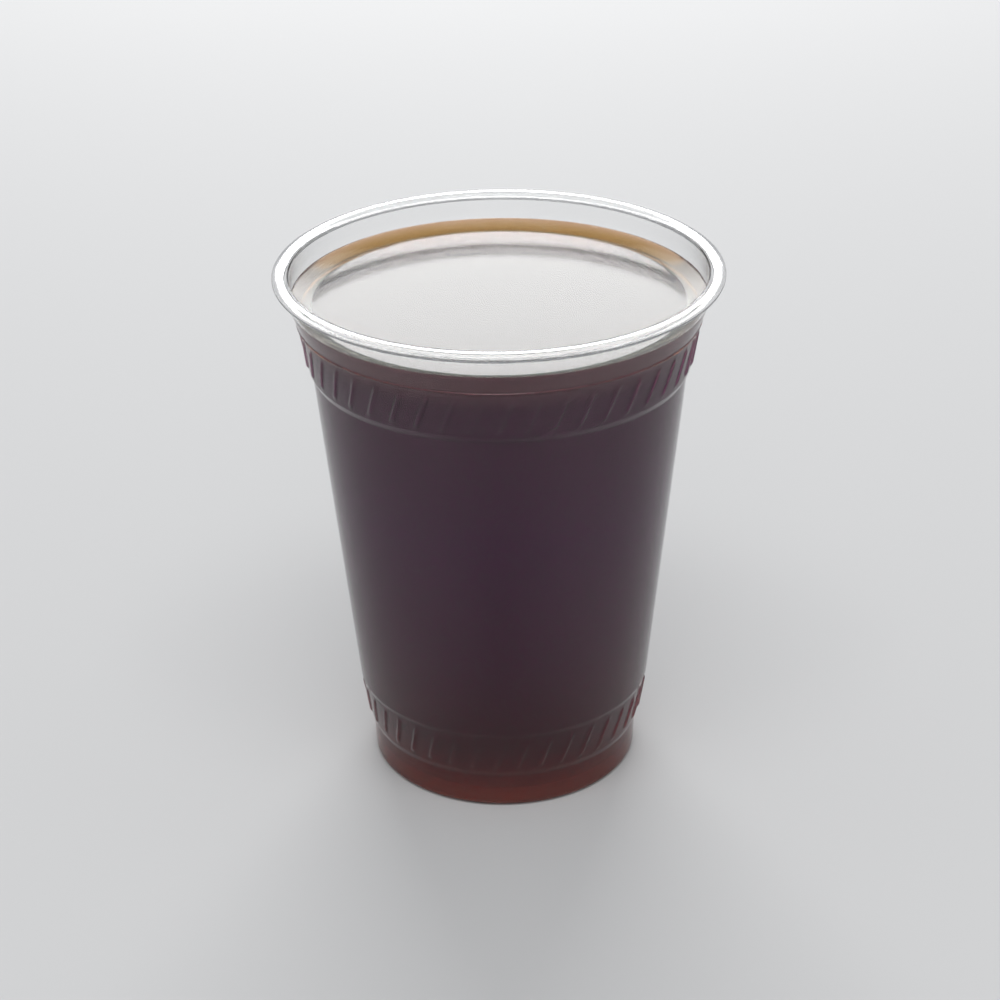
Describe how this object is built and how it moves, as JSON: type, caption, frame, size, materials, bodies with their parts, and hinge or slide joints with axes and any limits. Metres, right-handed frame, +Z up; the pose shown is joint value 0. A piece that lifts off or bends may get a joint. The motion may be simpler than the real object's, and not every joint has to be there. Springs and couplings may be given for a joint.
{
  "type": "cold brew coffee in a clear plastic cup",
  "caption": "Clear formed plastic cold cup with a rolled lip and slanted grip ridges, filled almost to the brim with dark coffee; stands on its foot ring.",
  "frame": {"origin": "centre of the foot ring, on the surface that the cup stands on", "axes": "+Z up along the cup's axis; the grip ridges lean towards +X as they rise on the side that faces -Y"},
  "size_m": [0.098, 0.098, 0.1197],
  "materials": {
    "clear_plastic": "clear glossy formed plastic sheet",
    "coffee": "dark still liquid with a mirror surface, amber where it is thin"
  },
  "bodies": {
    "root": {"cup": "clear_plastic", "coffee": "coffee"}
  },
  "joints": []
}
